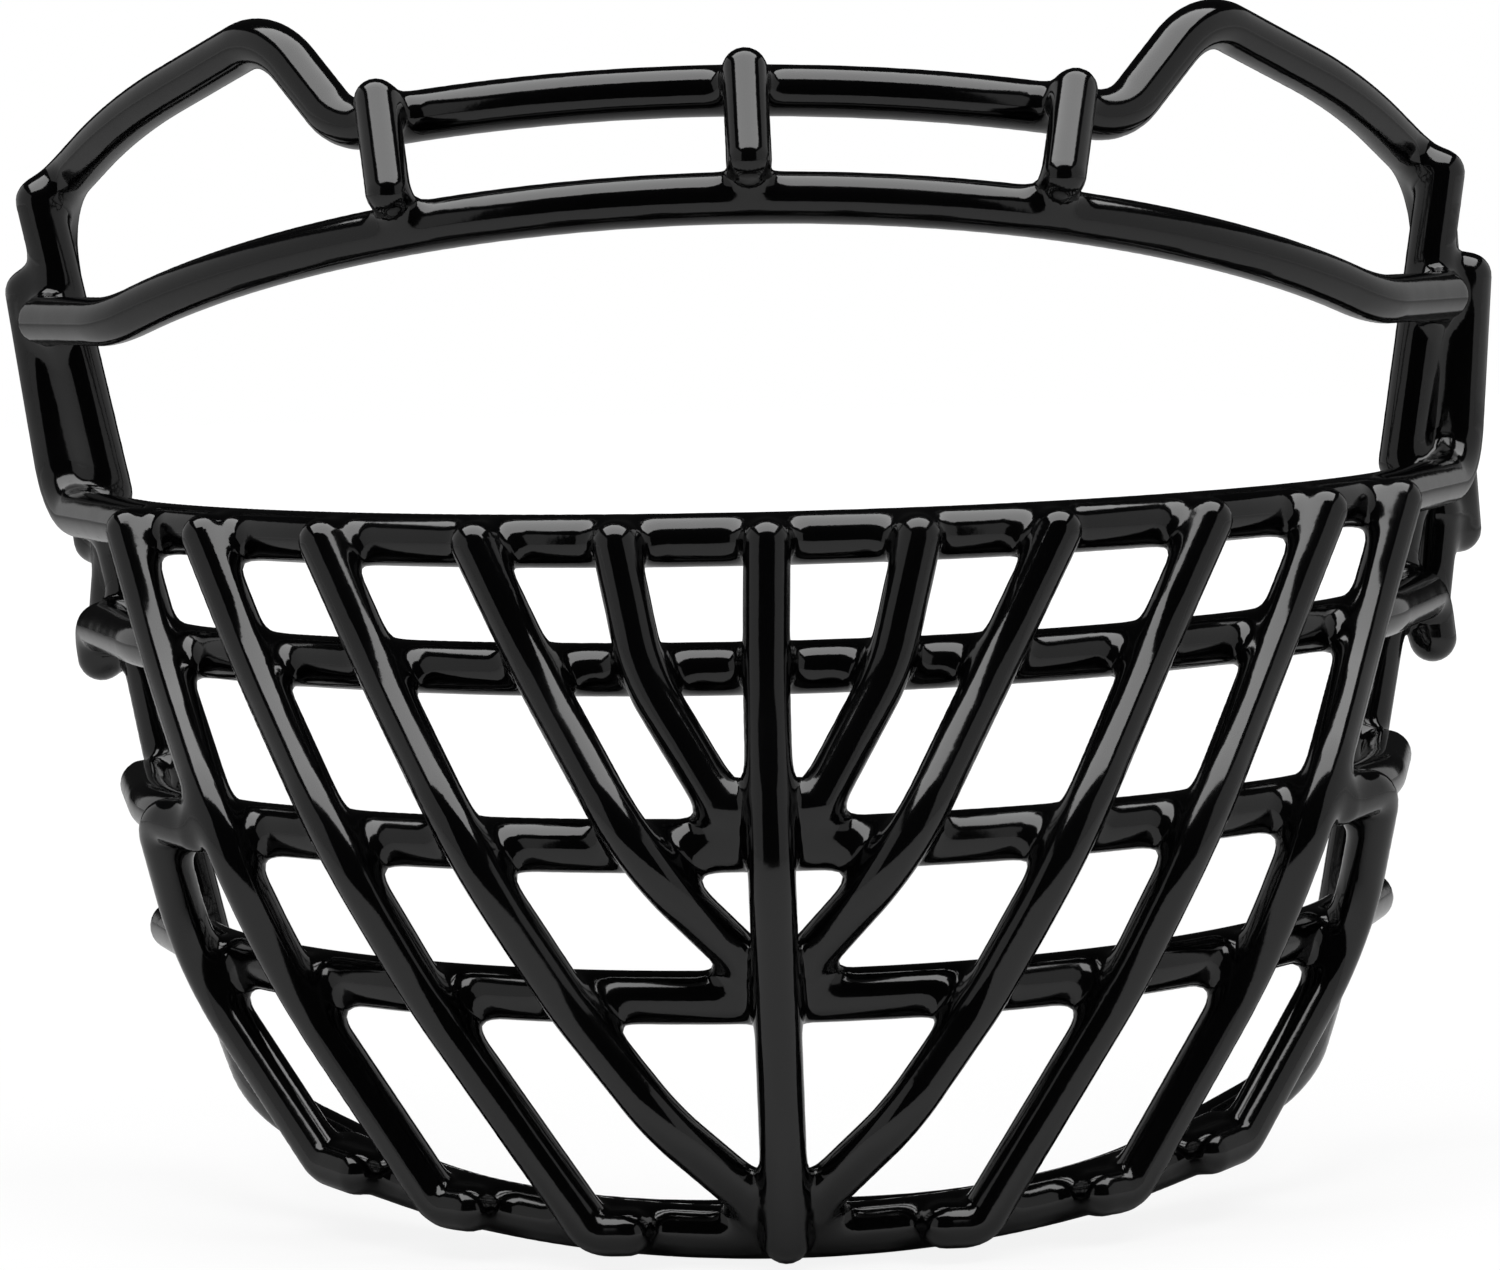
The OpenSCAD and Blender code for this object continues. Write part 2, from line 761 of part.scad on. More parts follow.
module fan_bar_3(side) {
    bar([
        front_1(fan_3_marks[0], side),
        front_2(fan_3_marks[1], side),
        front_3(fan_3_marks[2], side),
        front_4(fan_3_marks[3], side),
        centre_at(fan_3_swing[1]) + [side * fan_3_swing[0], 0, 0],
        front_5(fan_3_foot, side, fan_foot_seat)
    ], [0, fan_bend, fan_bend, swing_bend, fan_3_swing_bend, 0]);
}

module fan_bar_3_left() {
    fan_bar_3(-1);
}

module fan_bar_3_right() {
    fan_bar_3(1);
}

// The two outer pairs end in a tail on the fifth hoop
module tailed_bar(marks, tail, side) {
    bar([
        front_1(marks[0], side),
        front_2(marks[1], side),
        front_3(marks[2], side),
        front_4(marks[3], side),
        front_5(tail, side, fan_tail_seat),
        front_5(tail - fan_tail, side, fan_tail_seat)
    ], [0, fan_bend, fan_bend, fan_bend, tight_bend, 0]);
}

module fan_bar_4_left() {
    tailed_bar(fan_4_marks, fan_4_elbow, -1);
}

module fan_bar_4_right() {
    tailed_bar(fan_4_marks, fan_4_elbow, 1);
}

module fan_bar_5_left() {
    tailed_bar(fan_5_marks, fan_5_elbow, -1);
}

module fan_bar_5_right() {
    tailed_bar(fan_5_marks, fan_5_elbow, 1);
}

// The side bars have a tail on the third hoop as well
module side_bar(side) {
    bar([
        front_3(side_bar_marks[0] - third_hoop_tail, side),
        front_3(side_bar_marks[0], side),
        front_4(side_bar_marks[1], side),
        front_5(side_bar_elbow, side, side_tail_seat),
        front_5(side_bar_elbow - side_tail, side, side_tail_seat)
    ], [0, tight_bend, fan_bend, tight_bend, 0]);
}

module side_bar_left() {
    side_bar(-1);
}

module side_bar_right() {
    side_bar(1);
}

upper_brow_bar();
lower_brow_bar();
brow_post_left();
brow_post_middle();
brow_post_right();
front_upright_left();
front_upright_right();
hoop_1();
hoop_2();
hoop_3();
hoop_4();
hoop_5();
rear_post_left();
rear_post_right();
jaw_wire();
centre_bar();
fan_bar_1_left();
fan_bar_1_right();
fan_bar_2_left();
fan_bar_2_right();
fan_bar_3_left();
fan_bar_3_right();
fan_bar_4_left();
fan_bar_4_right();
fan_bar_5_left();
fan_bar_5_right();
side_bar_left();
side_bar_right();
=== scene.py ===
"""A wire face guard for a football helmet, in one glossy black coat.

The wires' routes are the same as the CAD part's. Their coat is one smooth skin that flows into a
fillet wherever two wires are welded, cut into one piece for each wire.
"""
import math

import bpy
import numpy as np
from mathutils import Matrix, Vector


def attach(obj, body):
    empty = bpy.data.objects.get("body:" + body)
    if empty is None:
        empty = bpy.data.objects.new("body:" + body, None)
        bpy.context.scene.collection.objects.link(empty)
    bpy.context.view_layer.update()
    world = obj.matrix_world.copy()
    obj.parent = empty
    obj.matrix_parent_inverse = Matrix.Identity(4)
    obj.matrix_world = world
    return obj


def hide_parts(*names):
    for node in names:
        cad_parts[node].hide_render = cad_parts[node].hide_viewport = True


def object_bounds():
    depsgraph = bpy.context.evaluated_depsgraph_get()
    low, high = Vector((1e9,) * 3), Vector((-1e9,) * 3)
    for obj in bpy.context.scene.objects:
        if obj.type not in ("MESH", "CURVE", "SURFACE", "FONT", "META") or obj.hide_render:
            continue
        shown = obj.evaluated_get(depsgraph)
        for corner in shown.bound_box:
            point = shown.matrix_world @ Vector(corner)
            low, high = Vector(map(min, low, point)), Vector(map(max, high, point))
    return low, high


# All sizes are millimetres until a mesh is made
MM = 0.001

# Wire
HEAVY_WIRE = 8.0
LIGHT_WIRE = 7.0
WELD_SINK = 0.9
TIGHT_BEND = 5.0
CORNER_BEND = 9.0
FAN_BEND = 60.0

# Hoops: height, front, bends as radius and angle, straight side
HOOP_LEVEL = {1: -50.3, 2: -69.3, 3: -94.5, 4: -117.8, 5: -154.4}
HOOP_FRONT = {1: 11.1, 2: 8.9, 3: 0.0, 4: 5.0, 5: 11.5}
HOOP_BENDS = {
    1: [(97.0, 30.0), (130.0, 31.3), (60.0, 6.2)],
    2: [(93.0, 31.4), (138.0, 28.8), (60.0, 11.8)],
    3: [(100.0, 29.4), (136.0, 17.9), (66.0, 33.5)],
    4: [(88.0, 28.0), (107.0, 32.5), (90.0, 10.8)],
    5: [(84.0, 35.8), (110.0, 11.9)],
}
HOOP_STRAIGHT = {1: 46.6, 2: 36.8, 3: 26.4, 4: 24.5, 5: 2.0}
HOOP_TILT = {1: 0.0, 2: 0.0, 3: 0.0, 4: 0.0, 5: 12.2}

# Sideways sets of the hoops, as welded
HOOP_SET = {1: 0.1, 2: -0.4, 3: -0.4, 4: 0.0, 5: 0.6}

# Side uprights
OUTER_SPLAY = 3.6
OUTER_TOP_LEVEL = -14.6
OUTER_TOP_SET = -1.4
OUTER_TOP_LEAN = 1.5
STUB_DROP = 6.6
STUB_LEAN = 1.1
STUB_SET = 0.8
FRONT_UPRIGHT_MARK = 169.5
FRONT_SPLAY = 8.6
FRONT_FOOT_SET = -1.0
FRONT_TOP_SET = -2.4
FRONT_TOP_LEVEL = 1.8
FRONT_TOP_LEAN = 0.4
FRONT_FOOT_RAISE = 3.2

# Brow
BROW_FRONT = 38.0
UPPER_BROW_BACK = 10.0
UPPER_BROW_LEVEL = 16.5
BROW_RADIUS = 127.0
UPPER_BROW_TILT = 18.4
LOWER_BROW_TILT = 21.0
UPPER_BROW_SWEEP = 25.0
LOWER_BROW_SWEEP = 50.0
VALLEY_HALF = 60.9
PEAK_HALF = 74.2
PEAK_LEVEL = 27.8
UPPER_BROW_SET = -3.5
LOWER_BROW_SET = -2.3
UPPER_BROW_LEAN = 0.6
LOWER_BROW_LEAN = 0.35
LOWER_BROW_RUN = 7.3
LOWER_BROW_TURN = 38.0
LOWER_BROW_END = [117.6, -18.4]
LOWER_BROW_PRESS = 0.7
POST_SEATS = [40.0, 8.0]
POST_PLACES = {"left": [-56.6, -58.6], "middle": [-1.1, -1.4], "right": [47.1, 49.8]}

# Wings of the upper brow bar: its corners before they are rounded
PEAK_BACK = 74.0
SHOULDER = [101.2, 105.2, 15.4]
TEMPLE_TOP = [117.8, 1.7]
WING_BENDS = [10.0, 14.0, 154.0, 16.0]
WING_SET = -2.7
WING_LEAN = 0.2

# Temple wires, rear posts and jaw wire
TEMPLE_INSET = 1.6
TEMPLE_SET = 2.6
TEMPLE_FOOT_LEVEL = -57.6
TEMPLE_FOOT_LEAN = 1.8
REAR_POST_SET = 2.5
REAR_TOP_HALF = 112.8
REAR_TOP_LEVEL = -56.5
REAR_FOOT_LEVEL = -75.0
JAW_SEATS = [-24.0, -30.0]
JAW_MARKS = [27.0, 60.0]
JAW_SWING = [82.7, 68.0, -142.8]
JAW_CORNER = [91.8, 100.2, -131.3]
JAW_SIDE = [99.6, 104.2, -95.2]
JAW_KNEE = [105.7, 117.0, -70.7]
JAW_TOP = [109.4, 118.0, -53.4]
JAW_BENDS = [60.0, 80.0, 50.0, 22.0, 60.0, 60.0]
JAW_SET = 0.6
JAW_ARM_SET = -0.2

# Fan bars: marks along the hoops from their middles, and what they end on
FAN_MARKS = {
    1: [21.1, 16.7],
    2: [42.0, 32.3, 18.1],
    3: [68.6, 58.0, 43.0, 29.2],
    4: [94.5, 83.1, 65.2, 51.5],
    5: [117.6, 107.0, 88.6, 77.6],
}
FAN_FOOT_MARKS = {1: 7.0, 2: 5.0, 3: 4.6}
FAN_FOOT_SEAT = 72.0
FAN_SWING = [17.5, -135.3]
FAN_FOOT_BEND = 30.0
FAN_SWING_BEND = 20.0
FAN_ELBOW = {4: 26.9, 5: 51.4}
SIDE_BAR_MARKS = [103.7, 103.6]
SIDE_BAR_ELBOW = 75.0
FAN_TAIL = 4.6
SIDE_TAIL = 6.5
THIRD_HOOP_TAIL = 9.0
FAN_TAIL_SEAT = 16.0
SIDE_TAIL_SEAT = 19.0

# Share of a leg that a bend may take, and the shortest straight that counts
LEG_SHARE = 0.45
SHORTEST = 0.01

# Coat: how widely it fills the corner between two wires, and the size of a face of the skin
FILLET = 4.0
CELL = 1.0

# A distance larger than any in the skin's grid
FAR = 99.0

# Coat's look: darkest and palest colour, gloss, and noise as scale, detail, strength and depth in m
COAT_TONES = [(0.0006, 0.0006, 0.0007, 1), (0.0016, 0.0016, 0.0018, 1)]
COAT_ROUGHNESS = [0.07, 0.13]
PATCHES = [60, 3]
PATCH_SHARES = [0.3, 0.7]
PEEL = [700, 4, 0.25, 0.00006]
SAG = [110, 1, 0.5, 0.0002]

# Floor: size in m, tone, and the share of plain white in what the camera sees of it.
# The share rises from that below the guard to 1 between two distances in m.
FLOOR_SIZE = [6.0, 3.5]
FLOOR_MIDDLE = 1.25
FLOOR_DROP = 0.0005
FLOOR_TONE = 0.5
FLOOR_ROUGHNESS = 0.9
FLOOR_GLOW = 0.8
FLOOR_FADE = [0.3, 0.9]
GLOW_STRENGTH = 1.1

# Lights: place and target in m, width, height and power in W
ROOM_LEVEL = 0.012
SOFTBOXES = {
    "overhead": [(0, -0.18, 1.0), (0, -0.18, -0.05), 1.7, 1.13, 26],
    "left": [(-1.3, 0.2, 0.3), (0, 0.2, 0.3), 3.6, 1.4, 8],
    "right": [(1.3, 0.2, 0.3), (0, 0.2, 0.3), 3.6, 1.4, 8],
}

# Camera: degrees, place in m, lens and sensor in mm
CAMERA_YAW = 0.1
CAMERA_PITCH = 4.9
CAMERA_ROLL = -1.36
CAMERA_PLACE = (-0.004, -0.780, 0)
LENS = 122.4
SENSOR = 36

HEAVY = HEAVY_WIRE / 2
LIGHT = LIGHT_WIRE / 2
MIXED_GAP = HEAVY + LIGHT - WELD_SINK
HEAVY_GAP = HEAVY_WIRE - WELD_SINK


# Routes of the wires

def vec(*numbers):
    return np.array(numbers, float)


def unit(v):
    return v / np.linalg.norm(v)


def sind(angle):
    return math.sin(math.radians(angle))


def cosd(angle):
    return math.cos(math.radians(angle))


def tand(angle):
    return math.tan(math.radians(angle))


def bend_angle(a, b, c):
    """Angle in degrees that a path turns through at b."""
    return math.degrees(math.acos(min(1.0, max(-1.0, float(unit(b - a) @ unit(c - b))))))


def place(bends, mark):
    """x, y and heading at a mark measured along a hoop from its middle."""
    x, y, turn = 0.0, 0.0, 0.0
    for radius, whole in bends:
        angle = min(whole, math.degrees(mark / radius))
        x += radius * (sind(turn + angle) - sind(turn))
        y += radius * (cosd(turn) - cosd(turn + angle))
        turn += angle
        if angle < whole:
            return x, y, turn
        mark -= radius * math.radians(whole)
    return x + mark * cosd(turn), y + mark * sind(turn), turn


def length_to(bends, count):
    """Length of the first bends along the wire."""
    return sum(radius * math.radians(angle) for radius, angle in bends[:count])


def lift(x, y, front, level, tilt):
    """A point of a plane that leaves the front at a level and climbs to the rear."""
    return vec(x, front + y * cosd(tilt), level + y * sind(tilt))


def middle_point(bends, front, level, tilt):
    """Corner of the middle bend, in front of it."""
    radius, angle = bends[0]
    return lift(0, radius * (1 - 1 / cosd(angle)), front, level, tilt)


def half_points(bends, straight, front, level, tilt):
    """Corners of the bends after the first, and the end, on the right half."""
    corners = []
    for i in range(1, len(bends)):
        x, y, turn = place(bends, length_to(bends, i))
        back = bends[i][0] * tand(bends[i][1] / 2)
        corners.append((x + back * cosd(turn), y + back * sind(turn)))
    x, y, turn = place(bends, length_to(bends, len(bends)) + straight)
    corners.append((x, y))
    return [lift(cx, cy, front, level, tilt) for cx, cy in corners]


def flip(points):
    return [p * vec(-1, 1, 1) for p in points]


def both(middle, half):
    return flip(half)[::-1] + [middle] + half


def both_radii(middle, half):
    return half[::-1] + [middle] + half


def front_of(number, mark, seat=0.0):
    """A light wire's centre on the front of a hoop at a mark, or a turn above that."""
    front, level, tilt = HOOP_FRONT[number], HOOP_LEVEL[number], HOOP_TILT[number]
    x, y, turn = place(HOOP_BENDS[number], mark)
    out = MIXED_GAP * cosd(seat)
    point = lift(x + out * sind(turn), y - out * cosd(turn), front, level, tilt)
    return point + MIXED_GAP * sind(seat) * vec(0, -sind(tilt), cosd(tilt))


def behind(number, mark, seat=0.0):
    """A light wire's centre behind a hoop at a mark, or a turn above that."""
    front, level, tilt = HOOP_FRONT[number], HOOP_LEVEL[number], HOOP_TILT[number]
    x, y, turn = place(HOOP_BENDS[number], mark)
    back = MIXED_GAP * cosd(seat)
    point = lift(x - back * sind(turn), y + back * cosd(turn), front, level, tilt)
    return point + MIXED_GAP * sind(seat) * vec(0, -sind(tilt), cosd(tilt))


def centre_at(level):
    """The centre bar's place at a height."""
    levels = [HOOP_LEVEL[n] for n in (5, 4, 3, 2, 1)]
    fronts = [HOOP_FRONT[n] - MIXED_GAP for n in (5, 4, 3, 2, 1)]
    sets = [HOOP_SET[n] for n in (5, 4, 3, 2, 1)]
    return vec(np.interp(level, levels, sets), np.interp(level, levels, fronts), level)


def on_side(p, side, set_):
    """A point of the right half on its side, with the part's sideways set."""
    return vec(side * p[0] + set_, p[1], p[2])


def contact(side, number, mark, seat=0.0):
    """A light wire's centre on the front of a hoop as it is welded."""
    return on_side(front_of(number, mark, seat), side, HOOP_SET[number])


def hoop_points(number):
    """Corner of the middle bend, corners of the right half and their radii."""
    bends = HOOP_BENDS[number]
    front, level, tilt = HOOP_FRONT[number], HOOP_LEVEL[number], HOOP_TILT[number]
    half = half_points(bends, HOOP_STRAIGHT[number], front, level, tilt)
    return middle_point(bends, front, level, tilt), half, [r for r, _ in bends[1:]]


def inside_of(number, mark, gap):
    """x and y of a wire's centre on the inside of a hoop at a mark."""
    x, y, turn = place(HOOP_BENDS[number], mark)
    return x - gap * sind(turn), HOOP_FRONT[number] + y + gap * cosd(turn)


def sideways(points, set_):
    return [p + vec(set_, 0, 0) for p in points]


def hoop(number):
    middle, half, radii = hoop_points(number)
    points = sideways(both(middle, half), HOOP_SET[number])
    return points, both_radii(HOOP_BENDS[number][0][0], radii + [0]), HEAVY


def first_hoop():
    """The first hoop turns up at its corners and ends as the outer uprights."""
    middle, half, radii = hoop_points(1)
    top_half = half[-1][0] + OUTER_SPLAY
    top = vec(top_half, half[-1][1], OUTER_TOP_LEVEL)
    set_ = HOOP_SET[1] + OUTER_TOP_SET
    ends = [on_side(top, side, set_) - vec(0, 0, side * OUTER_TOP_LEAN) for side in (-1, 1)]
    points = [ends[0]] + sideways(both(middle, half), HOOP_SET[1]) + [ends[1]]
    return points, both_radii(HOOP_BENDS[1][0][0], radii + [CORNER_BEND, 0]), HEAVY


def second_hoop():
    """The second hoop ends in short turned-down stubs."""
    middle, half, radii = hoop_points(2)
    half = half + [half[-1] - vec(0, 0, STUB_DROP)]
    points = sideways(both(middle, half), HOOP_SET[2])
    points[0] = points[0] + vec(STUB_SET, 0, STUB_LEAN)
    points[-1] = points[-1] + vec(STUB_SET, 0, -STUB_LEAN)
    return points, both_radii(HOOP_BENDS[2][0][0], radii + [TIGHT_BEND, 0]), HEAVY


def as_welded(p, set_, lean):
    """Both brow bars sit a little to one side, and lean."""
    return vec(p[0] + set_, p[1], p[2] - p[0] * tand(lean))


def corner_of_first_hoop():
    return hoop_points(1)[1][-1]


def temple_back():
    """The temple wires run down behind the first hoop's corners."""
    return corner_of_first_hoop()[1] + HEAVY_GAP


def temple_foot(side):
    half = corner_of_first_hoop()[0] - TEMPLE_INSET
    foot = on_side(vec(half, temple_back(), TEMPLE_FOOT_LEVEL), side, HOOP_SET[1] + TEMPLE_SET)
    return foot - vec(0, 0, side * TEMPLE_FOOT_LEAN)


def upper_brow_bar():
    bends = [(BROW_RADIUS, UPPER_BROW_SWEEP)]
    x, y, turn = place(bends, length_to(bends, 1))
    valley_y = y + (VALLEY_HALF - x) * tand(turn)
    front = BROW_FRONT + UPPER_BROW_BACK
    valley = lift(VALLEY_HALF, valley_y, front, UPPER_BROW_LEVEL, -UPPER_BROW_TILT)
    wing = [
        vec(PEAK_HALF, PEAK_BACK, PEAK_LEVEL),
        vec(*SHOULDER),
        vec(TEMPLE_TOP[0], temple_back(), TEMPLE_TOP[1]),
    ]
    middle = middle_point(bends, front, UPPER_BROW_LEVEL, -UPPER_BROW_TILT)
    feet = [temple_foot(side) for side in (-1, 1)]
    brow = [as_welded(p, UPPER_BROW_SET, UPPER_BROW_LEAN) for p in both(middle, [valley])]
    wings = [[as_welded(p, WING_SET, WING_LEAN) for p in side] for side in (flip(wing)[::-1], wing)]
    radii = [0] + both_radii(BROW_RADIUS, WING_BENDS) + [0]
    return [feet[0]] + wings[0] + brow + wings[1] + [feet[1]], radii, HEAVY


def lower_brow_bar():
    bends = [(BROW_RADIUS, LOWER_BROW_SWEEP)]
    x, y, _ = place(bends, length_to(bends, 1) + LOWER_BROW_RUN)
    end_y = inside_of(1, FRONT_UPRIGHT_MARK, HEAVY_GAP)[1] - HEAVY_GAP + LOWER_BROW_PRESS
    half = [
        lift(x, y, BROW_FRONT, 0, -LOWER_BROW_TILT),
        vec(LOWER_BROW_END[0], end_y, LOWER_BROW_END[1]),
    ]
    middle = middle_point(bends, BROW_FRONT, 0, -LOWER_BROW_TILT)
    points = [as_welded(p, LOWER_BROW_SET, LOWER_BROW_LEAN) for p in both(middle, half)]
    return points, [0, LOWER_BROW_TURN, BROW_RADIUS, LOWER_BROW_TURN, 0], HEAVY


def on_brow(x, set_, lean, front, level, tilt, seat):
    """Centre of a brow post's end on a brow bar, turned above its front."""
    from_middle = x - set_
    out = BROW_RADIUS + MIXED_GAP * cosd(seat)
    depth = BROW_RADIUS - math.sqrt(out ** 2 - from_middle ** 2)
    rise = vec(0, 0, MIXED_GAP * sind(seat))
    return as_welded(lift(from_middle, depth, front, level, -tilt) + rise, set_, lean)


def brow_post(foot_x, top_x):
    """The posts lean back from the lower brow bar's top to the upper one's front."""
    foot = on_brow(
        foot_x, LOWER_BROW_SET, LOWER_BROW_LEAN,
        BROW_FRONT, 0, LOWER_BROW_TILT, POST_SEATS[0],
    )
    top = on_brow(
        top_x, UPPER_BROW_SET, UPPER_BROW_LEAN,
        BROW_FRONT + UPPER_BROW_BACK, UPPER_BROW_LEVEL, UPPER_BROW_TILT, POST_SEATS[1],
    )
    return [foot, top], [0, 0], LIGHT


def front_upright(side):
    x, y = inside_of(1, FRONT_UPRIGHT_MARK, HEAVY_GAP)
    foot = vec(side * x + HOOP_SET[1] + FRONT_FOOT_SET, y, HOOP_LEVEL[1] + FRONT_FOOT_RAISE)
    level = FRONT_TOP_LEVEL - side * FRONT_TOP_LEAN
    top = vec(side * (x + FRONT_SPLAY) + HOOP_SET[1] + FRONT_TOP_SET, y, level)
    return [foot, top], [0, 0], HEAVY


def rear_post(side):
    end = hoop_points(2)[1][-1]
    temple = temple_foot(side)
    x = side * REAR_TOP_HALF + REAR_POST_SET
    top = vec(x, temple[1] - math.sqrt(MIXED_GAP ** 2 - (x - temple[0]) ** 2), REAR_TOP_LEVEL)
    foot = vec(side * end[0] + HOOP_SET[2] + STUB_SET, end[1] + MIXED_GAP, REAR_FOOT_LEVEL)
    return [top, foot], [0, 0], LIGHT


def jaw_wire():
    seated = [behind(5, mark, seat) for mark, seat in zip(JAW_MARKS, JAW_SEATS)]
    low = [vec(*p) for p in (JAW_SWING, JAW_CORNER)]
    arm = [vec(*p) for p in (JAW_SIDE, JAW_KNEE, JAW_TOP)]
    halves = []
    for side in (-1, 1):
        half = [on_side(p, side, HOOP_SET[5]) for p in seated]
        half += [on_side(p, side, JAW_SET) for p in low]
        halves.append(half + [on_side(p, side, JAW_ARM_SET) for p in arm])
    return halves[0][::-1] + halves[1], [0] + JAW_BENDS[::-1] + JAW_BENDS + [0], LIGHT


def centre_bar():
    points = [centre_at(HOOP_LEVEL[n]) for n in range(1, 6)]
    return through(points, [0, FAN_BEND, FAN_BEND, FAN_BEND, 0]) + (LIGHT,)


def limited(points, radii):
    """A bend is no larger than the legs on both sides of it allow."""
    kept = [0] * len(points)
    for i in range(1, len(points) - 1):
        a, b, c = points[i - 1:i + 2]
        leg = min(np.linalg.norm(b - a), np.linalg.norm(c - b))
        kept[i] = min(radii[i], LEG_SHARE * leg / tand(bend_angle(a, b, c) / 2))
    return kept


def through(contacts, radii):
    """Corners and bend radii of a wire whose bends touch the given points."""
    corners = contacts
    for _ in range(3):
        kept = limited(corners, radii)
        moved = [contacts[0]]
        for i in range(1, len(corners) - 1):
            a, b, c = corners[i - 1:i + 2]
            inward = unit(c - b) - unit(b - a)
            rise = kept[i] * (1 / cosd(bend_angle(a, b, c) / 2) - 1)
            moved.append(contacts[i] - rise * unit(inward))
        corners = moved + [contacts[-1]]
    return corners, limited(corners, radii)


def fan_bar(number, side):
    """Bars 1 to 3 end on top of a hoop beside the centre bar, 4 and 5 in a tail on the fifth."""
    points = [contact(side, i + 1, mark) for i, mark in enumerate(FAN_MARKS[number])]
    radii = [0] + [FAN_BEND] * (len(points) - 1)
    if number <= 3:
        radii[-1] = FAN_FOOT_BEND
        if number == 3:
            points += [centre_at(FAN_SWING[1]) + vec(side * FAN_SWING[0], 0, 0)]
            radii += [FAN_SWING_BEND]
        points += [contact(side, number + 2, FAN_FOOT_MARKS[number], FAN_FOOT_SEAT)]
    else:
        elbow = FAN_ELBOW[number]
        points += [contact(side, 5, mark, FAN_TAIL_SEAT) for mark in (elbow, elbow - FAN_TAIL)]
        radii += [TIGHT_BEND]
    return through(points, radii + [0]) + (LIGHT,)


def side_bar(side):
    """The side bars have a tail on the third hoop as well."""
    points = [
        contact(side, 3, SIDE_BAR_MARKS[0] - THIRD_HOOP_TAIL),
        contact(side, 3, SIDE_BAR_MARKS[0]),
        contact(side, 4, SIDE_BAR_MARKS[1]),
        contact(side, 5, SIDE_BAR_ELBOW, SIDE_TAIL_SEAT),
        contact(side, 5, SIDE_BAR_ELBOW - SIDE_TAIL, SIDE_TAIL_SEAT),
    ]
    return through(points, [0, TIGHT_BEND, FAN_BEND, TIGHT_BEND, 0]) + (LIGHT,)


def all_wires():
    """Every wire by its node's name: points, bend radii and thickness."""
    wires = {
        "upper_brow_bar": upper_brow_bar(),
        "lower_brow_bar": lower_brow_bar(),
        "hoop_1": first_hoop(),
        "hoop_2": second_hoop(),
        "hoop_3": hoop(3),
        "hoop_4": hoop(4),
        "hoop_5": hoop(5),
        "jaw_wire": jaw_wire(),
        "centre_bar": centre_bar(),
    }
    for name, places in POST_PLACES.items():
        wires[f"brow_post_{name}"] = brow_post(*places)
    for name, side in (("left", -1), ("right", 1)):
        wires[f"front_upright_{name}"] = front_upright(side)
        wires[f"rear_post_{name}"] = rear_post(side)
        for number in FAN_MARKS:
            wires[f"fan_bar_{number}_{name}"] = fan_bar(number, side)
        wires[f"side_bar_{name}"] = side_bar(side)
    return wires


# Stretches of a wire's centreline, and the nearest point on them

class Straight:
    def __init__(self, a, b):
        self.a = a
        self.along = b - a
        self.low = np.minimum(a, b)
        self.high = np.maximum(a, b)

    def nearest(self, points):
        share = (points - self.a) @ self.along / (self.along @ self.along)
        return self.a + np.clip(share, 0, 1)[:, None] * self.along


class Bend:
    def __init__(self, middle, outward, ahead, radius, angle):
        self.middle = middle
        self.outward = outward
        self.ahead = ahead
        self.radius = radius
        self.angle = angle
        steps = self.point(np.linspace(0, angle, 25))
        slack = radius * (1 - math.cos(angle / 48))
        self.low = steps.min(axis=0) - slack
        self.high = steps.max(axis=0) + slack

    def point(self, angle):
        ring = np.cos(angle)[:, None] * self.outward + np.sin(angle)[:, None] * self.ahead
        return self.middle + self.radius * ring

    def nearest(self, points):
        away = points - self.middle
        angle = np.arctan2(away @ self.ahead, away @ self.outward)
        angle = np.where(angle < self.angle / 2 - math.pi, angle + 2 * math.pi, angle)
        return self.point(np.clip(angle, 0, self.angle))


def stretches(points, radii):
    """Straights and bends of the path through points."""
    found = []
    start = points[0]
    for i in range(1, len(points) - 1):
        a, b, c = points[i - 1:i + 2]
        angle = math.radians(bend_angle(a, b, c))
        ahead = unit(b - a)
        after = unit(c - b)
        inward = unit(after - (after @ ahead) * ahead)
        back = radii[i] * math.tan(angle / 2)
        enter = b - back * ahead
        if (enter - start) @ ahead > SHORTEST:
            found.append(Straight(start, enter))
        found.append(Bend(enter + radii[i] * inward, -inward, ahead, radii[i], angle))
        start = b + back * after
    if np.linalg.norm(points[-1] - start) > SHORTEST:
        found.append(Straight(start, points[-1]))
    return found


class Wire:
    def __init__(self, name, points, radii, thickness):
        shift = vec(0, -BROW_FRONT, 0)
        self.name = name
        self.thickness = thickness
        self.stretches = stretches([p + shift for p in points], radii)
        self.low = np.min([s.low for s in self.stretches], axis=0)
        self.high = np.max([s.high for s in self.stretches], axis=0)

    def distance(self, points, reach):
        """Distance to the wire's surface and the way out of it, for points within reach."""
        best = np.full(len(points), FAR)
        out = np.zeros((len(points), 3))
        for stretch in self.stretches:
            margin = self.thickness + reach
            near = ((points > stretch.low - margin) & (points < stretch.high + margin)).all(axis=1)
            rows = np.nonzero(near)[0]
            if not len(rows):
                continue
            away = points[rows] - stretch.nearest(points[rows])
            length = np.linalg.norm(away, axis=1)
            closer = length - self.thickness < best[rows]
            rows = rows[closer]
            best[rows] = length[closer] - self.thickness
            out[rows] = away[closer] / np.maximum(length[closer], 1e-9)[:, None]
        return best, out


# The coat's skin

def blend(a, b):
    """Smooth union of two distances, and how much the first counts."""
    share = np.clip(0.5 + 0.5 * (b - a) / FILLET, 0, 1)
    return b + (a - b) * share - FILLET * share * (1 - share), share


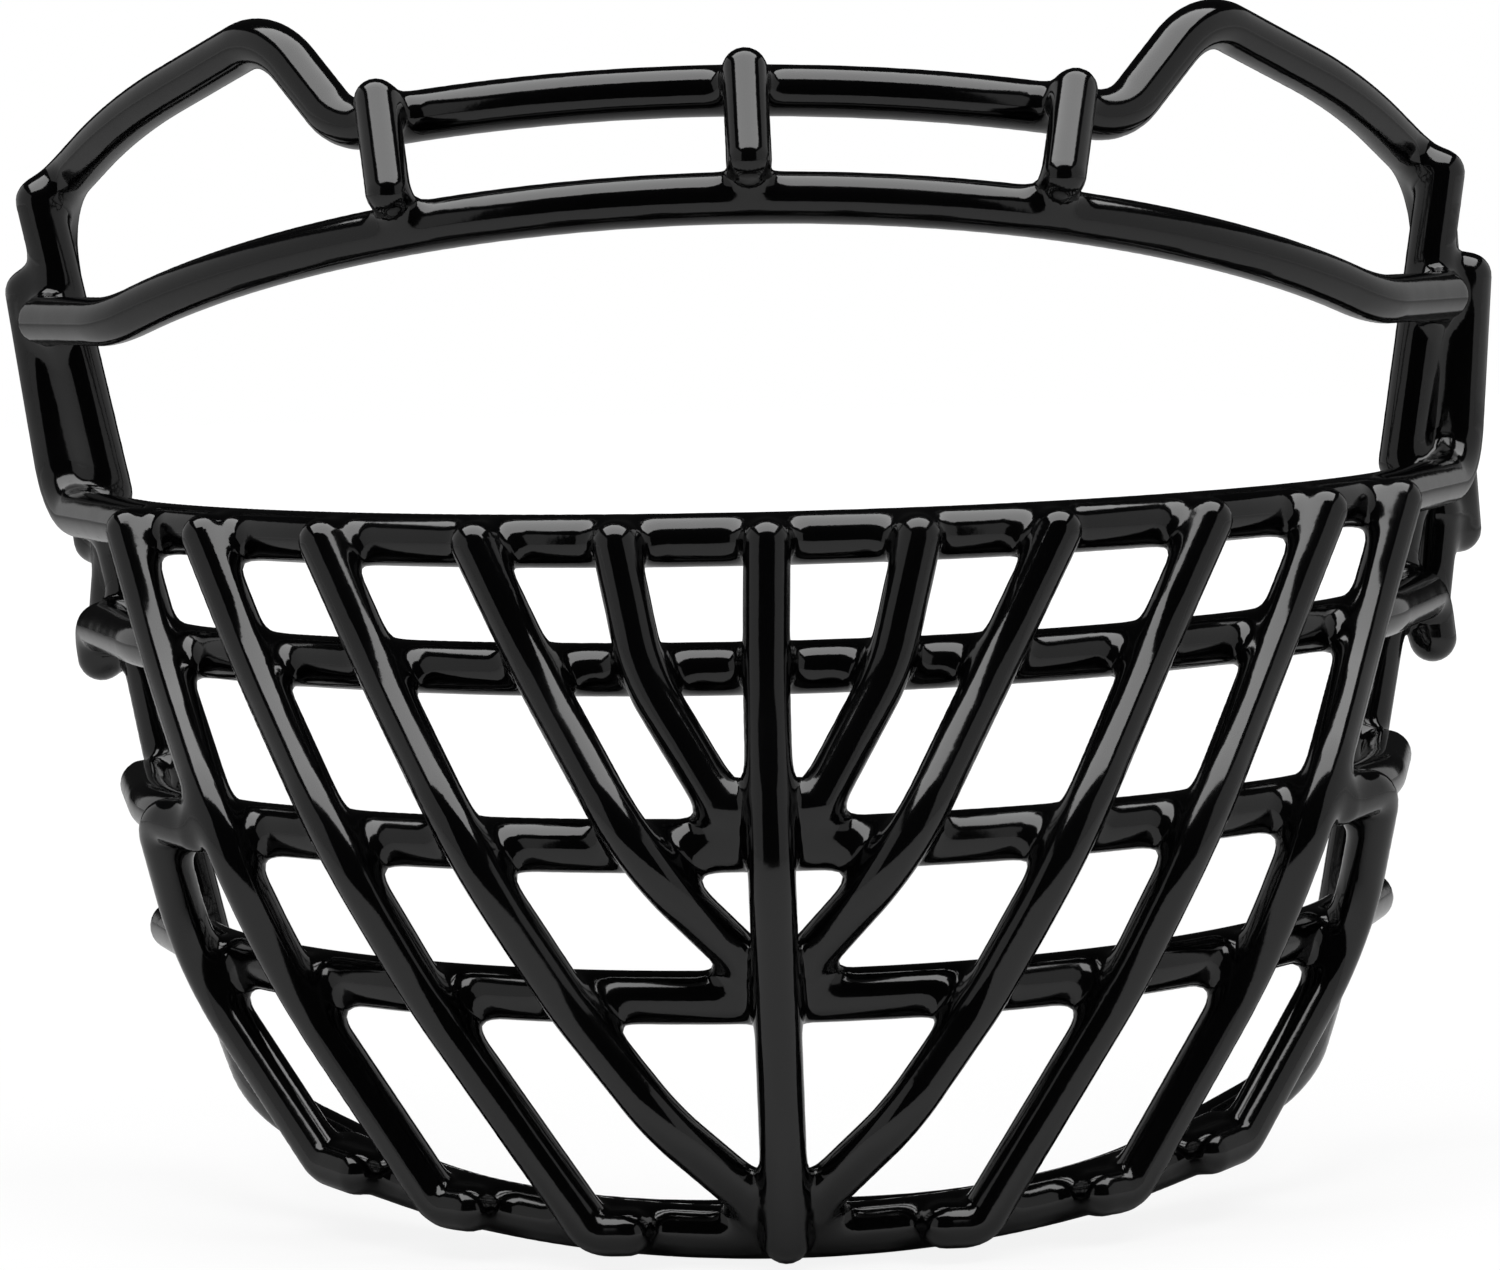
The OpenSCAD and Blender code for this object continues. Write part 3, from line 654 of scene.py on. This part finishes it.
def coat(wires, points):
    """Distance to the coat, the way out of it and the nearest wire, at any points."""
    reach = FILLET + 2 * CELL
    total = np.full(len(points), FAR)
    normal = np.zeros((len(points), 3))
    nearest = np.full(len(points), FAR)
    owner = np.zeros(len(points), int)
    for index, wire in enumerate(wires):
        margin = wire.thickness + reach
        inside = ((points > wire.low - margin) & (points < wire.high + margin)).all(axis=1)
        rows = np.nonzero(inside)[0]
        own, out = wire.distance(points[rows], reach)
        total[rows], share = blend(total[rows], own)
        normal[rows] = share[:, None] * normal[rows] + (1 - share[:, None]) * out
        closer = own < nearest[rows]
        nearest[rows[closer]] = own[closer]
        owner[rows[closer]] = index
    return total, normal, owner


def coat_grid(wires):
    """The coat's distance on a grid round the whole guard."""
    margin = HEAVY + 3 * CELL
    low = np.min([w.low for w in wires], axis=0) - margin
    high = np.max([w.high for w in wires], axis=0) + margin
    size = np.ceil((high - low) / CELL).astype(int) + 1
    total = np.full(size, FAR, np.float32)
    reach = FILLET + 2 * CELL
    for wire in wires:
        pad = wire.thickness + reach
        first = np.maximum(np.floor((wire.low - pad - low) / CELL).astype(int), 0)
        last = np.minimum(np.ceil((wire.high + pad - low) / CELL).astype(int) + 1, size)
        own = np.full(last - first, FAR, np.float32)
        for stretch in wire.stretches:
            a = np.maximum(np.floor((stretch.low - pad - low) / CELL).astype(int), 0)
            b = np.minimum(np.ceil((stretch.high + pad - low) / CELL).astype(int) + 1, size)
            axes = [low[k] + CELL * np.arange(a[k], b[k]) for k in range(3)]
            points = np.stack(np.meshgrid(*axes, indexing="ij"), axis=-1).reshape(-1, 3)
            length = np.linalg.norm(points - stretch.nearest(points), axis=1) - wire.thickness
            spot = tuple(slice(a[k] - first[k], b[k] - first[k]) for k in range(3))
            own[spot] = np.minimum(own[spot], length.reshape(b - a))
        spot = tuple(slice(first[k], last[k]) for k in range(3))
        total[spot] = blend(total[spot], own)[0]
    return low, total


def skin_mesh(low, total):
    """One vertex in each grid cell that the surface crosses, one quad round each crossed edge."""
    inside = total < 0
    corners = [(i, j, k) for i in (0, 1) for j in (0, 1) for k in (0, 1)]
    size = np.array(total.shape) - 1

    def shifted(grid, corner):
        return grid[tuple(slice(c, c + n) for c, n in zip(corner, size))]

    count = sum(shifted(inside, corner).astype(np.int8) for corner in corners)
    cells = np.argwhere((count > 0) & (count < 8))
    number = np.full(size, -1)
    number[tuple(cells.T)] = np.arange(len(cells))

    value = {corner: total[tuple((cells + corner).T)] for corner in corners}
    place_sum = np.zeros((len(cells), 3))
    crossings = np.zeros(len(cells))
    for a in corners:
        for axis in range(3):
            if a[axis]:
                continue
            b = tuple(c + (k == axis) for k, c in enumerate(a))
            crossed = (value[a] < 0) != (value[b] < 0)
            step = value[a][crossed] / (value[a][crossed] - value[b][crossed])
            spot = np.tile(np.array(a, float), (crossed.sum(), 1))
            spot[:, axis] += step
            place_sum[crossed] += spot
            crossings[crossed] += 1
    vertices = low + CELL * (cells + place_sum / crossings[:, None])

    quads = []
    for axis in range(3):
        u, v = (axis + 1) % 3, (axis + 2) % 3
        head = [slice(1, -1)] * 3
        head[axis] = slice(0, -1)
        tail = [slice(1, -1)] * 3
        tail[axis] = slice(1, None)
        start, end = inside[tuple(head)], inside[tuple(tail)]
        for flag, order in ((start & ~end, (0, 1, 2, 3)), (~start & end, (3, 2, 1, 0))):
            edges = np.argwhere(flag)
            edges += [0 if k == axis else 1 for k in range(3)]
            ring = []
            for du, dv in ((-1, -1), (0, -1), (0, 0), (-1, 0)):
                cell = edges.copy()
                cell[:, u] += du
                cell[:, v] += dv
                ring.append(number[tuple(cell.T)])
            quads.append(np.stack([ring[i] for i in order], axis=1))
    return vertices, np.concatenate(quads)


def settle(wires, vertices):
    """Move the vertices onto the coat and find their normals and wires."""
    for _ in range(3):
        total, normal, _ = coat(wires, vertices)
        square = np.maximum((normal * normal).sum(axis=1), 0.2)
        vertices = vertices - (np.clip(total, -1, 1) / square)[:, None] * normal
    _, normal, owner = coat(wires, vertices)
    length = np.maximum(np.linalg.norm(normal, axis=1), 1e-6)
    return vertices, normal / length[:, None], owner


# Blender objects

def skin_piece(name, vertices, normals, quads, material):
    """A mesh object of the quads of one wire."""
    used, faces = np.unique(quads, return_inverse=True)
    faces = faces.reshape(quads.shape)
    mesh = bpy.data.meshes.new(name)
    mesh.from_pydata((vertices[used] * MM).tolist(), [], faces.tolist())
    mesh.polygons.foreach_set("use_smooth", [True] * len(mesh.polygons))
    mesh.normals_split_custom_set_from_vertices(normals[used].tolist())
    mesh.materials.append(material)
    piece = bpy.data.objects.new(name, mesh)
    bpy.context.scene.collection.objects.link(piece)
    return piece


def noise(tree, where, scale, detail):
    """A noise texture in the object's own space."""
    node = tree.nodes.new("ShaderNodeTexNoise")
    node.inputs["Scale"].default_value = scale
    node.inputs["Detail"].default_value = detail
    tree.links.new(where.outputs["Object"], node.inputs["Vector"])
    return node


def bump(tree, height, strength, depth):
    node = tree.nodes.new("ShaderNodeBump")
    node.inputs["Strength"].default_value = strength
    node.inputs["Distance"].default_value = depth
    tree.links.new(height.outputs["Fac"], node.inputs["Height"])
    return node


def map_range(tree, low, high, to_low, to_high):
    node = tree.nodes.new("ShaderNodeMapRange")
    node.inputs["From Min"].default_value = low
    node.inputs["From Max"].default_value = high
    node.inputs["To Min"].default_value = to_low
    node.inputs["To Max"].default_value = to_high
    return node


def coat_material():
    """Black dip coat: glossy, with a faint orange peel and slightly uneven gloss."""
    material = bpy.data.materials.new("black_coat")
    material.use_nodes = True
    tree = material.node_tree
    shader = tree.nodes["Principled BSDF"]
    shader.inputs["Specular IOR Level"].default_value = 0.5
    where = tree.nodes.new("ShaderNodeTexCoord")

    patches = noise(tree, where, *PATCHES)
    gloss = map_range(tree, *PATCH_SHARES, *COAT_ROUGHNESS)
    tree.links.new(patches.outputs["Fac"], gloss.inputs["Value"])
    tree.links.new(gloss.outputs["Result"], shader.inputs["Roughness"])

    tone = tree.nodes.new("ShaderNodeValToRGB")
    for element, color in zip(tone.color_ramp.elements, COAT_TONES):
        element.color = color
    tree.links.new(patches.outputs["Fac"], tone.inputs["Fac"])
    tree.links.new(tone.outputs["Color"], shader.inputs["Base Color"])

    fine = bump(tree, noise(tree, where, *PEEL[:2]), *PEEL[2:])
    broad = bump(tree, noise(tree, where, *SAG[:2]), *SAG[2:])
    tree.links.new(fine.outputs["Normal"], broad.inputs["Normal"])
    tree.links.new(broad.outputs["Normal"], shader.inputs["Normal"])
    return material


def dress_guard():
    """One piece of the coat's skin in place of each wire of the CAD part."""
    wires = [Wire(name, *shape) for name, shape in all_wires().items()]
    vertices, quads = skin_mesh(*coat_grid(wires))
    vertices, normals, owner = settle(wires, vertices)
    quad_owner = owner[quads].min(axis=1)
    material = coat_material()
    for index, wire in enumerate(wires):
        own = quads[quad_owner == index]
        piece = skin_piece(f"coat_{wire.name}", vertices, normals, own, material)
        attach(piece, "root")
        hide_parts(wire.name)


# Stage, lights and camera

def camera_mix(tree, other, seen, output):
    """What the camera sees in place of what everything else sees."""
    mix = tree.nodes.new("ShaderNodeMixShader")
    tree.links.new(other.outputs[0], mix.inputs[1])
    tree.links.new(seen.outputs[0], mix.inputs[2])
    tree.links.new(mix.outputs[0], tree.nodes[output].inputs["Surface"])
    return mix.inputs["Fac"]


def white_floor(level):
    """A pale floor that fades out to the camera but for the guard's soft shadow."""
    bpy.ops.mesh.primitive_plane_add(size=1, location=(0, FLOOR_MIDDLE, level))
    floor = bpy.context.object
    floor.name = "floor"
    floor.scale = (*FLOOR_SIZE, 1.0)
    material = bpy.data.materials.new("floor")
    material.use_nodes = True
    tree = material.node_tree
    shader = tree.nodes["Principled BSDF"]
    shader.inputs["Base Color"].default_value = (FLOOR_TONE, FLOOR_TONE, FLOOR_TONE, 1)
    shader.inputs["Roughness"].default_value = FLOOR_ROUGHNESS
    glow = tree.nodes.new("ShaderNodeEmission")
    glow.inputs["Color"].default_value = (1, 1, 1, 1)
    glow.inputs["Strength"].default_value = GLOW_STRENGTH
    where = tree.nodes.new("ShaderNodeNewGeometry")
    away = tree.nodes.new("ShaderNodeVectorMath")
    away.operation = "LENGTH"
    fade = map_range(tree, *FLOOR_FADE, FLOOR_GLOW, 1.0)
    path = tree.nodes.new("ShaderNodeLightPath")
    share = tree.nodes.new("ShaderNodeMath")
    share.operation = "MULTIPLY"
    tree.links.new(where.outputs["Position"], away.inputs[0])
    tree.links.new(away.outputs["Value"], fade.inputs["Value"])
    tree.links.new(path.outputs["Is Camera Ray"], share.inputs[0])
    tree.links.new(fade.outputs["Result"], share.inputs[1])
    tree.links.new(share.outputs[0], camera_mix(tree, shader, glow, "Material Output"))
    floor.data.materials.append(material)


def white_world():
    """The camera sees white; everything else sees a dim grey room."""
    world = bpy.data.worlds.new("studio")
    bpy.context.scene.world = world
    world.use_nodes = True
    tree = world.node_tree
    room = tree.nodes["Background"]
    white = tree.nodes.new("ShaderNodeBackground")
    for node, strength in ((room, ROOM_LEVEL), (white, 1.0)):
        node.inputs["Color"].default_value = (1, 1, 1, 1)
        node.inputs["Strength"].default_value = strength
    path = tree.nodes.new("ShaderNodeLightPath")
    tree.links.new(path.outputs["Is Camera Ray"], camera_mix(tree, room, white, "World Output"))


def softbox(name, spot, target, width, height, power):
    """A rectangular lamp at a spot, turned to its target."""
    lamp = bpy.data.lights.new(name, "AREA")
    lamp.shape = "RECTANGLE"
    lamp.size = width
    lamp.size_y = height
    lamp.energy = power
    box = bpy.data.objects.new(name, lamp)
    box.location = spot
    box.rotation_euler = (Vector(target) - Vector(spot)).to_track_quat("-Z", "Y").to_euler()
    bpy.context.scene.collection.objects.link(box)


def lights():
    """A long overhead softbox and two side walls, in a dark room."""
    for name, setting in SOFTBOXES.items():
        softbox(name, *setting)


def camera():
    """The photograph's view: nearly level, a long lens, a touch of roll."""
    yaw, pitch, roll = CAMERA_YAW, CAMERA_PITCH, CAMERA_ROLL
    ahead = Vector((sind(yaw) * cosd(pitch), cosd(yaw) * cosd(pitch), -sind(pitch)))
    level_right = ahead.cross(Vector((0, 0, 1))).normalized()
    level_up = level_right.cross(ahead)
    right = cosd(roll) * level_right + sind(roll) * level_up
    up = -sind(roll) * level_right + cosd(roll) * level_up
    turn = Matrix((right, up, -ahead)).transposed().to_4x4()
    data = bpy.data.cameras.new("camera")
    data.sensor_fit = "HORIZONTAL"
    data.sensor_width = SENSOR
    data.lens = LENS
    data.clip_start = 0.05
    eye = bpy.data.objects.new("camera", data)
    eye.matrix_world = Matrix.Translation(CAMERA_PLACE) @ turn
    bpy.context.scene.collection.objects.link(eye)
    bpy.context.scene.camera = eye


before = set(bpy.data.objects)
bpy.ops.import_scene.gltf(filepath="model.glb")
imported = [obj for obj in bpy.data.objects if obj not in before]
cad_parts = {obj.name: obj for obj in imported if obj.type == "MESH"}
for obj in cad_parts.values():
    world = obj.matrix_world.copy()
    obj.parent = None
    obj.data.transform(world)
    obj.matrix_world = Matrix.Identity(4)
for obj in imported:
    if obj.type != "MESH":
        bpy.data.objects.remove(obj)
CAD_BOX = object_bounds()
bpy.context.scene.view_settings.view_transform = "Standard"
camera()
white_world()
dress_guard()
white_floor(min(corner[2] for corner in CAD_BOX) - FLOOR_DROP)
lights()
